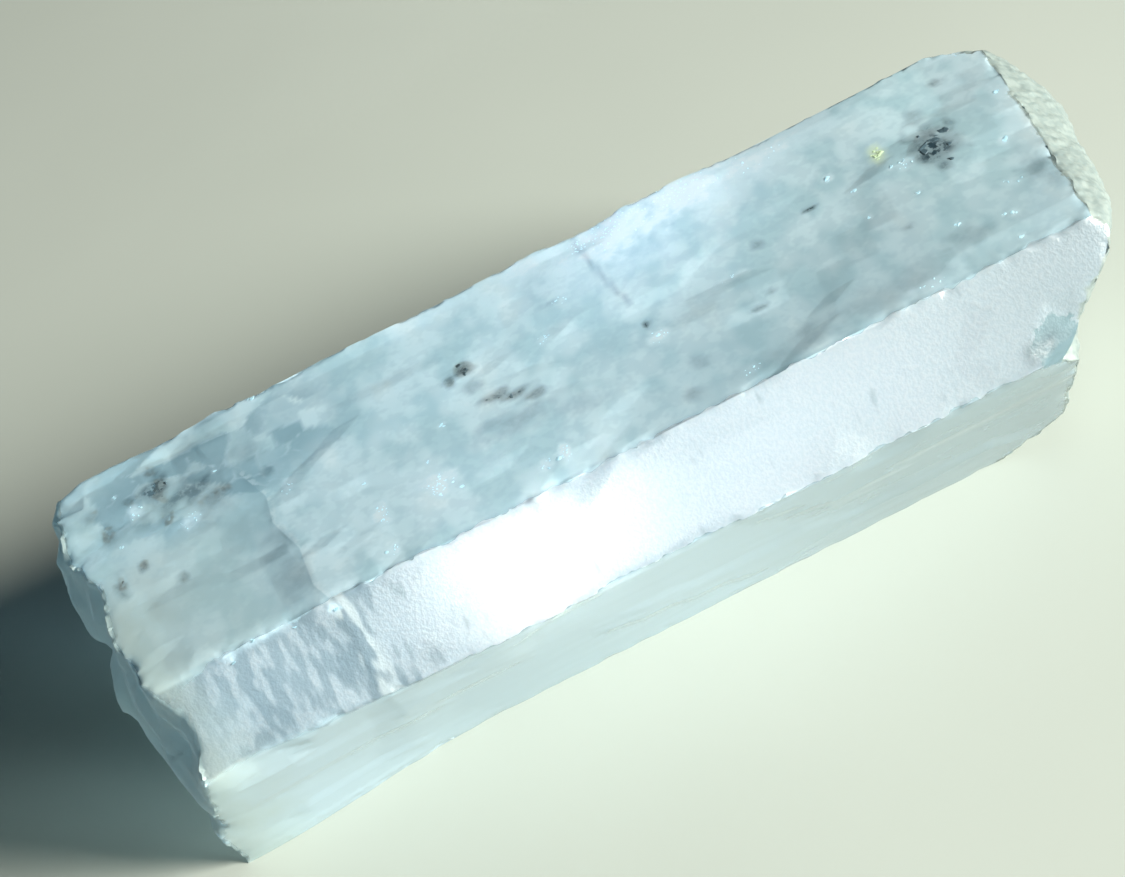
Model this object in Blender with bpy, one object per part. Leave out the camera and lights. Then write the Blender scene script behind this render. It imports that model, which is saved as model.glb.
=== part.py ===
"""Aquamarine crystal: one broken-off prism of beryl, about 65 mm long, lying on one of its own faces.

The prism runs along X and rests on z = 0. Both ends are broken: the -X end in shell-shaped scoops,
the +X end in oblique facets with a swollen, sugary shoulder. Lengths are in millimetres until the
mesh is written out in metres.
"""

import math

import bmesh
import bpy
from mathutils import Vector, noise

MILLIMETRE = 0.001

# Driving dimensions. Beryl's six prism faces meet at 120 degrees, so four widths fix the section.
CELL = 1.04  # side of the triangular lattice that the section is divided into
BOTTOM_WIDTH = 16 * CELL
TOP_WIDTH = 19 * CELL
FRONT_UPPER_WIDTH = 6 * CELL
FRONT_LOWER_WIDTH = 14 * CELL
BACK_LOWER_WIDTH = TOP_WIDTH + FRONT_UPPER_WIDTH - BOTTOM_WIDTH
BACK_UPPER_WIDTH = FRONT_UPPER_WIDTH + FRONT_LOWER_WIDTH - BACK_LOWER_WIDTH
FRONT_FOOT_Y = -6.8  # where the front lower face stands on the surface
ROW_HEIGHT = CELL * math.sin(math.radians(60))
TOP_Z = (FRONT_UPPER_WIDTH + FRONT_LOWER_WIDTH) * math.sin(math.radians(60))
FRONT_CREST_Z = FRONT_LOWER_WIDTH * math.sin(math.radians(60))  # where the two front faces meet
STATIONS = 32  # slices along the length

# The front foot isn't quite straight: it stands back for most of its length and flares at the -X end.
FOOT_SET_BACK = 0.45
FOOT_FLARE = 1.7
FLARE_FROM_X = -12.0
FLARE_TO_X = -30.0

# The prism faces in order round the section: name, direction of travel in degrees, width.
FACES = (
    ("bottom", 0, BOTTOM_WIDTH),
    ("back_lower", 60, BACK_LOWER_WIDTH),
    ("back_upper", 120, BACK_UPPER_WIDTH),
    ("top", 180, TOP_WIDTH),
    ("front_upper", 240, FRONT_UPPER_WIDTH),
    ("front_lower", 300, FRONT_LOWER_WIDTH),
)

# Lumps (+) and shell-shaped scoops (-) of the -X break: y, z, radius, height outwards.
LEFT_BREAK_X = -29.6
LEFT_LEAN = 0.12  # how far the break runs out towards the back, per millimetre of y
LEFT_LUMPS = (
    (4.6, 14.3, 3.9, 1.6),
    (-5.0, 13.6, 2.6, 1.3),
    (-9.8, 10.6, 2.4, 0.8),
    (-8.2, 2.5, 5.5, 1.5),
    (10.5, 8.5, 4.0, 0.8),
)
LEFT_SCOOPS = (
    (-12.6, 15.2, 2.6, -1.1),
    (-1.0, 8.0, 6.0, -1.9),
    (6.0, 3.5, 5.0, -1.0),
    (-0.8, 16.8, 2.0, -0.6),
)
RIPPLE = 0.16  # height of the rings that a shell-shaped break leaves
RIPPLE_SPACING = 2.4
PLATE_STEP = 0.8  # the break runs out in plates this thick
PLATE_TREAD = 0.5  # share of a plate that is flat
LEFT_GRAIN = 0.3
LEFT_GRAIN_SPACING = 3.3

# The +X break: planes x = at + per_y * y + per_z * z, of which the innermost one shows.
SHOULDER = (50.2, 0.09, -1.1)  # slopes outwards from the top face's edge
UNDERCUT = (24.8, 0.66, 0.786)  # takes the front corner off, below the top edge
FRONT_LUMP = (28.2, 0.445, 0.317)  # stands out again below the undercut
FOOT_CHIP = (22.4, 0.2, 1.9)
BACK_CORNER_CHIP = (74.2, -1.6, -1.8)
SWELL_X = 33.3  # furthest point of the end
SWELL_Y = 3.0
SWELL_FRONT_SLOPE = 0.157
SWELL_BACK_SLOPE = -0.35
SWELL_FOOT_Z = 12.0
SWELL_FOOT_SLOPE = 0.16
FRONT_LUMP_TOP_Z = 11.0
FRONT_LUMP_FALL = 3.0  # how steeply the lump gives way to the undercut above it
FACET_ROUNDING = 0.3
SUGAR = 0.3  # height of the grains on the end
SUGAR_SPACING = 2.2

# Relief of the prism faces, outwards along each face's normal.
WAVINESS = 0.08
WAVE_LENGTH = 15.0
LEDGE_HEIGHT = 0.12  # growth plates
LEDGE_LENGTH = 13.0
LEDGE_WIDTH = 6.0
LEDGE_EDGE = 0.03  # how sharply a plate begins and ends
STRIATION = 0.03  # grooves along the length
STRIATION_LENGTH = 60.0
STRIATION_SPACING = 2.3
NOISE_TURN = 7.3  # moves each face to its own stretch of the noise
PARTING_X = -20.2  # the parting that crosses the crystal, at y = 0, and how it leans
PARTING_LEAN = -0.313
PARTING_DROP = 0.13  # the end beyond the parting lies this much lower
BACK_FLARE = 0.55  # the back upper face stands out towards the -X end
BACK_FLARE_FROM_X = -6.0
BACK_FLARE_TO_X = -28.0
FOOT_BLEND = 3.0  # relief dies away over this height, so that the bottom face stays flat

# Spalls off the long edges: x, y, z, radius, depth.
CHIPS = (
    (26.5, -14.0, 13.0, 2.6, 0.7),
    (-22.5, 8.8, 18.0, 2.6, 0.25),
    (-30.8, 8.8, 18.0, 2.2, 0.5),
    (4.5, 8.8, 18.0, 2.4, 0.25),
    (-2.0, -11.0, 18.0, 1.8, 0.25),
    (14.0, -14.0, 12.6, 2.2, 0.25),
    (-24.0, -14.0, 12.6, 2.8, 0.4),
    (-8.0, 14.2, 9.5, 3.0, 0.5),
    (12.0, 14.2, 9.5, 2.4, 0.4),
)

CHIP_FLOOR = 0.6  # share of a spall's radius taken up by its slope

ON_FACE = 0.01  # a vertex closer than this to a prism face lies on it
SHARP_ANGLE = 25.0

AQUAMARINE = (0.40, 0.62, 0.68, 1.0)


def clear_scene():
    for obj in list(bpy.data.objects):
        bpy.data.objects.remove(obj)


def smooth_step(low, high, value):
    share = min(1.0, max(0.0, (value - low) / (high - low)))
    return share * share * (3 - 2 * share)


def section_corners():
    """The six corners of the section, as (y, z), from the front foot round the back."""
    y, z = FRONT_FOOT_Y, 0.0
    corners = []
    for _, heading, width in FACES:
        corners.append(Vector((0.0, y, z)))
        y += width * math.cos(math.radians(heading))
        z += width * math.sin(math.radians(heading))
    return corners


def cut_into_lattice(bm, corners):
    """Cuts the flat section along two of its three lattice directions."""
    origin = corners[0]
    for heading in (0, 60):
        angle = math.radians(heading)
        across = Vector((0.0, -math.sin(angle), math.cos(angle)))
        offsets = [(corner - origin).dot(across) for corner in corners]
        first = math.ceil(min(offsets) / ROW_HEIGHT + 0.5)
        last = math.floor(max(offsets) / ROW_HEIGHT - 0.5)
        for row in range(first, last + 1):
            bmesh.ops.bisect_plane(
                bm,
                geom=bm.verts[:] + bm.edges[:] + bm.faces[:],
                dist=1e-4,
                plane_co=origin + across * row * ROW_HEIGHT,
                plane_no=across,
            )


def even_prism(corners):
    """A straight prism from x = 0 to x = 1, its ends cut into the lattice and its sides into stations."""
    bm = bmesh.new()
    bm.faces.new([bm.verts.new(corner) for corner in corners])
    cut_into_lattice(bm, corners)
    made = bmesh.ops.extrude_face_region(bm, geom=bm.faces[:])
    far_end = [item for item in made["geom"] if isinstance(item, bmesh.types.BMVert)]
    bmesh.ops.translate(bm, verts=far_end, vec=(1.0, 0.0, 0.0))
    long_edges = [e for e in bm.edges if abs(e.verts[0].co.x - e.verts[1].co.x) > 0.5]
    bmesh.ops.subdivide_edges(bm, edges=long_edges, cuts=STATIONS - 1, use_grid_fill=True)
    return bm


def least_blended(values, rounding):
    """The smallest value, rounded over where two are nearly equal, as a worn edge between facets is."""
    least = min(values)
    weight = sum(math.exp((least - value) / rounding) for value in values)
    return least - rounding * math.log(weight)


def plane_x(plane, y, z):
    at, per_y, per_z = plane
    return at + per_y * y + per_z * z


def left_end_x(y, z):
    """Where the -X break lies, at a place in the section."""
    out = LEFT_LEAN * y
    for lump_y, lump_z, radius, height in LEFT_LUMPS + LEFT_SCOOPS:
        distance = math.hypot(y - lump_y, z - lump_z) / radius
        out += height * math.exp(-distance * distance)
    scoop_y, scoop_z = LEFT_SCOOPS[1][:2]
    ring = math.hypot(y - scoop_y, z - scoop_z)
    out += RIPPLE * math.sin(2 * math.pi * ring / RIPPLE_SPACING)
    out += LEFT_GRAIN * noise.noise(Vector((0.3, y / LEFT_GRAIN_SPACING, z / LEFT_GRAIN_SPACING)))
    plate = math.floor(out / PLATE_STEP)
    out = PLATE_STEP * (plate + smooth_step(PLATE_TREAD, 1.0, out / PLATE_STEP - plate))
    return LEFT_BREAK_X - out


def right_end_x(y, z):
    """Where the +X break lies, at a place in the section."""
    side_slope = SWELL_FRONT_SLOPE if y < SWELL_Y else SWELL_BACK_SLOPE
    swell = SWELL_X + side_slope * (y - SWELL_Y)
    swell -= SWELL_FOOT_SLOPE * max(0.0, SWELL_FOOT_Z - z)
    lump = plane_x(FRONT_LUMP, y, z) - FRONT_LUMP_FALL * max(0.0, z - FRONT_LUMP_TOP_Z)
    front = max(plane_x(UNDERCUT, y, z), lump)
    facets = (plane_x(SHOULDER, y, z), swell, front)
    chips = (plane_x(FOOT_CHIP, y, z), plane_x(BACK_CORNER_CHIP, y, z))
    grain = noise.noise(Vector((4.0, y / SUGAR_SPACING, z / SUGAR_SPACING)))
    grain += 0.5 * noise.noise(Vector((9.0, 2 * y / SUGAR_SPACING, 2 * z / SUGAR_SPACING)))
    return least_blended(facets + chips, FACET_ROUNDING) + SUGAR * grain


def face_relief(face, along, x, y):
    """How far a prism face stands out from its plane, at a distance across it and along the crystal."""
    turn = NOISE_TURN * face
    wave = noise.noise(Vector((x / WAVE_LENGTH, turn, along / WAVE_LENGTH)))
    plate = noise.noise(Vector((x / LEDGE_LENGTH, turn + 3.1, along / LEDGE_WIDTH)))
    groove = noise.noise(Vector((x / STRIATION_LENGTH, turn + 5.7, along / STRIATION_SPACING)))
    relief = WAVINESS * wave + STRIATION * groove
    relief += LEDGE_HEIGHT * (smooth_step(-LEDGE_EDGE, LEDGE_EDGE, plate) - 0.5)
    parting = PARTING_X + PARTING_LEAN * y
    relief -= PARTING_DROP * smooth_step(0.0, 1.0, parting - x)
    if FACES[face][0] == "back_upper":
        reach = (BACK_FLARE_FROM_X - x) / (BACK_FLARE_FROM_X - BACK_FLARE_TO_X)
        relief += BACK_FLARE * smooth_step(0.0, 1.0, reach)
    return relief


def face_distances(corners, place):
    """For each prism face: a place's distance from it, its normal, and how far across it the place lies."""
    found = []
    for corner, (_, heading, _) in zip(corners, FACES):
        angle = math.radians(heading)
        along = Vector((0.0, math.cos(angle), math.sin(angle)))
        normal = Vector((0.0, math.sin(angle), -math.cos(angle)))
        offset = place - corner
        found.append((abs(offset.dot(normal)), normal, offset.dot(along)))
    return found


def chip_move(x, y, z):
    """The move into the spalls off the long edges, towards the crystal's middle."""
    move = Vector()
    for chip_x, chip_y, chip_z, radius, depth in CHIPS:
        offset = Vector((x - chip_x, y - chip_y, z - chip_z))
        inwards = Vector((0.0, -chip_y, TOP_Z / 2 - chip_z)).normalized()
        share = max(0.0, 1 - offset.length / radius)
        move += inwards * depth * smooth_step(0.0, CHIP_FLOOR, share)
    return move


def relief_at(corners, place, x):
    """The move of a side vertex: out along the normals of the faces that it lies on, never on the bottom."""
    move = chip_move(x, place.y, place.z)
    for index, (distance, normal, along) in enumerate(face_distances(corners, place)):
        if distance < ON_FACE and FACES[index][0] != "bottom":
            move += normal * face_relief(index, along, x, place.y)
    return move * smooth_step(0.0, FOOT_BLEND, place.z)


def foot_shift(x, y, z):
    """The move of the front foot, along Y: it fades out at the crest above and across the bottom face."""
    flare = smooth_step(0.0, 1.0, (FLARE_FROM_X - x) / (FLARE_FROM_X - FLARE_TO_X))
    height_share = max(0.0, 1 - z / FRONT_CREST_Z)
    across_share = 1 - smooth_step(FRONT_FOOT_Y, 0.0, y)
    return (FOOT_SET_BACK - FOOT_FLARE * flare) * height_share * across_share


def on_side(corners, place):
    return min(distance for distance, _, _ in face_distances(corners, place)) < ON_FACE


def shape_crystal(bm, corners):
    """Draws the even prism out between its two breaks, and gives its faces their relief."""
    for vert in bm.verts:
        place = Vector((0.0, vert.co.y, vert.co.z))
        left, right = left_end_x(place.y, place.z), right_end_x(place.y, place.z)
        x = left + vert.co.x * (right - left)
        move = relief_at(corners, place, x) if on_side(corners, place) else Vector()
        move.y += foot_shift(x, place.y, place.z)
        vert.co = Vector((x, place.y, place.z)) + move


def stand_on_origin(bm):
    """Moves the crystal so that the middle of its box's underside is the origin."""
    for axis in (0, 1):
        reach = [vert.co[axis] for vert in bm.verts]
        shift = Vector()
        shift[axis] = -(min(reach) + max(reach)) / 2
        bmesh.ops.translate(bm, verts=bm.verts, vec=shift)


def aquamarine_material():
    material = bpy.data.materials.new("aquamarine")
    material.use_nodes = True
    shader = material.node_tree.nodes["Principled BSDF"]
    shader.inputs["Base Color"].default_value = AQUAMARINE
    shader.inputs["Roughness"].default_value = 0.25
    shader.inputs["Metallic"].default_value = 0.0
    shader.inputs["IOR"].default_value = 1.577
    shader.inputs["Transmission Weight"].default_value = 0.8
    return material


def make_crystal():
    corners = section_corners()
    bm = even_prism(corners)
    shape_crystal(bm, corners)
    stand_on_origin(bm)
    bmesh.ops.triangulate(bm, faces=bm.faces[:], quad_method="SHORT_EDGE")
    bmesh.ops.recalc_face_normals(bm, faces=bm.faces[:])
    bmesh.ops.scale(bm, vec=(MILLIMETRE,) * 3, verts=bm.verts[:])
    mesh = bpy.data.meshes.new("crystal")
    bm.to_mesh(mesh)
    bm.free()
    mesh.shade_smooth()
    mesh.set_sharp_from_angle(angle=math.radians(SHARP_ANGLE))
    mesh.materials.append(aquamarine_material())
    crystal = bpy.data.objects.new("crystal", mesh)
    bpy.context.scene.collection.objects.link(crystal)
    return crystal


clear_scene()
make_crystal()
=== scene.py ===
import math
import random

import bmesh
import bpy
from mathutils import Euler, Matrix, Vector, kdtree, noise
from mathutils.bvhtree import BVHTree


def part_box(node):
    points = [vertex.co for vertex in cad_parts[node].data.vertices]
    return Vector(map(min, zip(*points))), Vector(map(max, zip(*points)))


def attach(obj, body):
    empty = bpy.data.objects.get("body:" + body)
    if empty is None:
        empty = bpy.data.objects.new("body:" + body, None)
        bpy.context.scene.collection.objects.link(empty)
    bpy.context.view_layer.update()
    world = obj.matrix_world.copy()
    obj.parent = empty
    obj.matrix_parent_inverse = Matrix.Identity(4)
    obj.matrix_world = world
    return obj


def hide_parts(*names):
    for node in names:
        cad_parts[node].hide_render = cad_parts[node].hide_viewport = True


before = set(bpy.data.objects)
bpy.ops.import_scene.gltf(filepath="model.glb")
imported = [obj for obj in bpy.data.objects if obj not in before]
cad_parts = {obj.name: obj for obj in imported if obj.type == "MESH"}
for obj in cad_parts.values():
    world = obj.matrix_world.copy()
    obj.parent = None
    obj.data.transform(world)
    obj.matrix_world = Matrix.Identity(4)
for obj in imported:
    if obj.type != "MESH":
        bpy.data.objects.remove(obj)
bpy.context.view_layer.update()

mm = 0.001
scene = bpy.context.scene
random.seed(41)

# the prism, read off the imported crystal: where its three visible faces meet, in mm
prism = {
    "topZ": 18.0,
    "crestY": -11.3,    # top face meets the etched face
    "ridgeZ": 12.6,     # etched face meets the smooth lower face
    "tan30": 0.577,     # the etched face leans 30 degrees from upright
    "cos30": 0.866,
    # the parting that crosses the crystal: y, x
    "parting": [
        (-30, -17.0), (-11.4, -17.2), (-9.6, -17.9), (-6.1, -18.0), (-3.0, -19.0),
        (-0.5, -18.9), (2.5, -20.0), (5.1, -21.4), (8.9, -22.9), (20, -27.0),
    ],
}


def hexColour(text):
    # sRGB hex to linear
    parts = [int(text[i:i + 2], 16) / 255 for i in (1, 3, 5)]
    linear = [c / 12.92 if c <= 0.04045 else ((c + 0.055) / 1.055) ** 2.4 for c in parts]
    return (*linear, 1.0)


def addNode(tree, kind, inputs=(), out=0, **settings):
    # inputs are values or the outputs of other nodes, by place or by name
    node = tree.nodes.new("ShaderNode" + kind)
    for name, value in settings.items():
        setattr(node, name, value)
    pairs = inputs.items() if isinstance(inputs, dict) else enumerate(inputs)
    for socket, value in pairs:
        if isinstance(value, bpy.types.NodeSocket):
            tree.links.new(value, node.inputs[socket])
        else:
            node.inputs[socket].default_value = value
    return node.outputs[out] if node.outputs else node


def newMaterial(name):
    material = bpy.data.materials.new(name)
    material.use_nodes = True
    material.node_tree.nodes.clear()
    return material, material.node_tree


def meshObject(name, bm, material):
    mesh = bpy.data.meshes.new(name)
    bm.to_mesh(mesh)
    bm.free()
    mesh.materials.append(material)
    piece = bpy.data.objects.new(name, mesh)
    scene.collection.objects.link(piece)
    return piece


def blend(low, high, value):
    share = min(1.0, max(0.0, (value - low) / (high - low)))
    return share * share * (3 - 2 * share)


def hump(away, reach):
    return math.exp(-(away / reach) ** 2)


def stretched(p, factors):
    return Vector(a * b for a, b in zip(p, factors))


print("camera")
cameraSetup = {
    "azimuth": 0.98,        # degrees
    "elevation": 40.0,
    "roll": -27.52,
    "place": Vector((-0.402, -117.218, 109.678)),   # mm
    "lens": 83.2,
    "sensor": 36,
    "clipStart": 5,         # mm, less than the distance to the crystal
}


def makeCamera():
    data = bpy.data.cameras.new("camera")
    data.lens = cameraSetup["lens"]
    data.sensor_width = cameraSetup["sensor"]
    data.clip_start = cameraSetup["clipStart"] * mm
    camera = bpy.data.objects.new("camera", data)
    turn = Matrix.Rotation(math.radians(cameraSetup["azimuth"]), 4, "Z")
    tip = Matrix.Rotation(math.radians(90 - cameraSetup["elevation"]), 4, "X")
    roll = Matrix.Rotation(math.radians(cameraSetup["roll"]), 4, "Z")
    camera.matrix_world = Matrix.Translation(cameraSetup["place"] * mm) @ turn @ tip @ roll
    scene.collection.objects.link(camera)
    scene.camera = camera


makeCamera()

print("light")
lightSetup = {
    "ambient": ("#D6E6F2", 0.012),
    # name, azimuth from +X towards +Y, elevation, distance in mm, size in mm,
    # spread, watts, colour, where it aims in mm
    "lamps": [
        ("windowSide", -36, 23.5, 700, 245, 180, 19.4, "#FFFAF0", (0, 0, 0)),
        ("griddedSpot", -92, 18, 200, 8, 4, 0.0003, "#FFF8EC", (-6.3, -12.6, 15.6)),
        ("frontPool", -92, 20, 300, 20, 10, 0.0009, "#F8FBFF", (5.0, -12.8, 15.2)),
        ("cloudSpot", -90, 78, 300, 8, 3.4, 0.00024, "#DCEBFF", (7.0, 6.8, 18)),
        ("bounceCard", 184, 6, 300, 60, 180, 0.03, "#F2FFF8", (0, 0, 0)),
    ],
    "notMirrored": ["bounceCard"],      # it only fills, so no face shows it as a highlight
}


def makeLights():
    world = bpy.data.worlds.new("studio")
    world.use_nodes = True
    colour, strength = lightSetup["ambient"]
    background = world.node_tree.nodes["Background"]
    background.inputs["Color"].default_value = hexColour(colour)
    background.inputs["Strength"].default_value = strength
    scene.world = world
    for name, azimuth, elevation, distance, size, spread, watts, *rest in lightSetup["lamps"]:
        colour, aim = rest
        lamp = bpy.data.lights.new(name, "AREA")
        lamp.energy = watts
        lamp.shape = "DISK"
        lamp.size = size * mm
        lamp.spread = math.radians(spread)
        lamp.color = hexColour(colour)[:3]
        lampObject = bpy.data.objects.new(name, lamp)
        az, el = math.radians(azimuth), math.radians(elevation)
        out = Vector((math.cos(az) * math.cos(el), math.sin(az) * math.cos(el), math.sin(el)))
        lampObject.location = (Vector(aim) + out * distance) * mm
        lampObject.rotation_euler = out.to_track_quat("Z", "Y").to_euler()
        lampObject.visible_glossy = name not in lightSetup["notMirrored"]
        scene.collection.objects.link(lampObject)
    scene.view_settings.view_transform = "Standard"


makeLights()

print("floor")
floorLook = {
    "size": 3000,           # mm
    "gap": 0.03,            # mm under the crystal, so the two faces don't flicker
    "pale": "#ACB6B0",
    "shade": "#A4AEA8",
    "mottle": 33.3,         # mm from one shade to the next
    "roughness": 0.75,
    "specular": 0.2,
}


def makeFloor():
    material, tree = newMaterial("paintedBoard")   # matt cream paint: soft, with a faint mottle
    place = addNode(tree, "TexCoord", out="Object")
    mottle = addNode(tree, "TexNoise", {
        "Vector": place, "Scale": 1 / (floorLook["mottle"] * mm), "Detail": 3.0,
    })
    tone = addNode(tree, "Mix", {
        0: mottle, 6: hexColour(floorLook["shade"]), 7: hexColour(floorLook["pale"]),
    }, out=2, data_type="RGBA")
    shader = addNode(tree, "BsdfPrincipled", {
        "Base Color": tone,
        "Roughness": floorLook["roughness"],
        "Specular IOR Level": floorLook["specular"],
    })
    addNode(tree, "OutputMaterial", {"Surface": shader})
    bm = bmesh.new()
    bmesh.ops.create_grid(bm, x_segments=1, y_segments=1, size=floorLook["size"] / 2 * mm)
    bmesh.ops.translate(bm, verts=bm.verts, vec=(0, 0, -floorLook["gap"] * mm))
    floor = meshObject("floor", bm, material)


makeFloor()

print("crystal")
crystalShape = {
    "merge": 0.001,             # mm, corners this close are one
    "slice": 0.54,              # mm between the even cuts
    "snap": 0.04,               # mm, a cut this near a vertex goes through it
    "fineCuts": 1,              # once more where it shows: on the breaks,
    "fineTop": 0.9,             # on faces that look up this much,
    "fineEtched": (-0.8, 0.4),  # or along -Y and up this much
    "flatAngle": 0.6,           # degrees, faces this close are one before the cuts
    "shadeAngle": 38,           # degrees, an edge sharper than this keeps its crease
    # a face that looks this much along X, this many mm out, belongs to a break
    "brokenNormal": 0.4,
    "brokenFrom": 19,
    "smoothing": 14,            # passes over the breaks, before their own relief
    # the -X break has worn its edges round
    "wearAngle": 30,
    "wearFrom": -24,            # x, mm
    "wearFloor": 0.2,           # z, mm
    "wearPasses": 15,
    "wearRing": 3,              # every so many passes it reaches one ring further
    # nicks in the long edges
    "nickReach": 0.30,          # mm, how far wear reaches in from an edge
    "nickDepth": 0.22,
    "nickSpacing": 1.3,
    "nickSmaller": 0.35,        # the smaller nicks between them, as a share
    "nickFloor": 0.25,          # what stays whole
    "farEdge": (4.0, 7.0),      # y, mm: the far edge is hardly worn
    "farEdgeNarrower": 4,
    "smoothEnd": (-23.0, -27.0),    # x, mm: the -X end is worn smooth
    "smoothEndLess": 0.6,
    # etch pits; the real ones are finer, these are as coarse as they need to be to show
    "grainSize": 0.34,
    "grainDepth": 0.015,
    "grainStretch": (0.8, 1, 1),
    "grainEdge": (-0.1, 0.15),  # mm in from the two long edges
    # the breaks, in pairs: -X, +X
    "hackleSize": 1.5,
    "hackleDepth": (0.048, 0.084),
    "gritSize": 0.35,
    "gritDepth": (0.02, 0.05),
    # steps across the -X break
    "stepSize": 1.7,
    "stepDepth": 0.12,
    "stepStretch": (0.3, 1, 0.4),
    "stepEdge": (0.0, 0.25),
    "stepFrom": 3,              # z, mm
    # sugary crumbs on the +X break
    "sugarSize": 0.75,
    "sugarDepth": 0.14,
    "sugarLevel": 0.35,
    # the crystal is a hair thinner past the parting
    "partingDrop": 0.035,
    "partingWidth": 0.22,
    # growth lines along the prism: sides, top
    "rippleStretch": (0.3, 1.6, 1.6),
    "rippleDepth": (0.01, 0.004),
    "rippleTop": 17.3,          # z, mm
    "rippleFloor": 1.0,
    # plates left standing on the -X break: y, z, half width, half height, how far out
    "plates": [(1.0, 12.8, 3.6, 3.2, 1.7), (-5.5, 11.0, 4.5, 4.5, 1.6)],
    "plateRoot": (-29.5, -26.5),    # x, mm
    # a smooth, clear chip on the ridge
    "chip": Vector((24.2, -14.1, 13.2)),
    "chipReach": 2.0,
    "chipEdge": (1.2, 2.0),
    "restFloor": 0.05,          # z, mm: the face it lies on stays flat
    # painted highlight: a pale rim painted along the edges near the -X end, where the unlit
    # facets look dark
    "paintedRimLight": 0.4,
    "paintedRimReach": 0.35,
    "paintedRimFrom": -20,          # x, mm
    "paintedRimFloor": 1,           # z, mm
}

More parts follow.
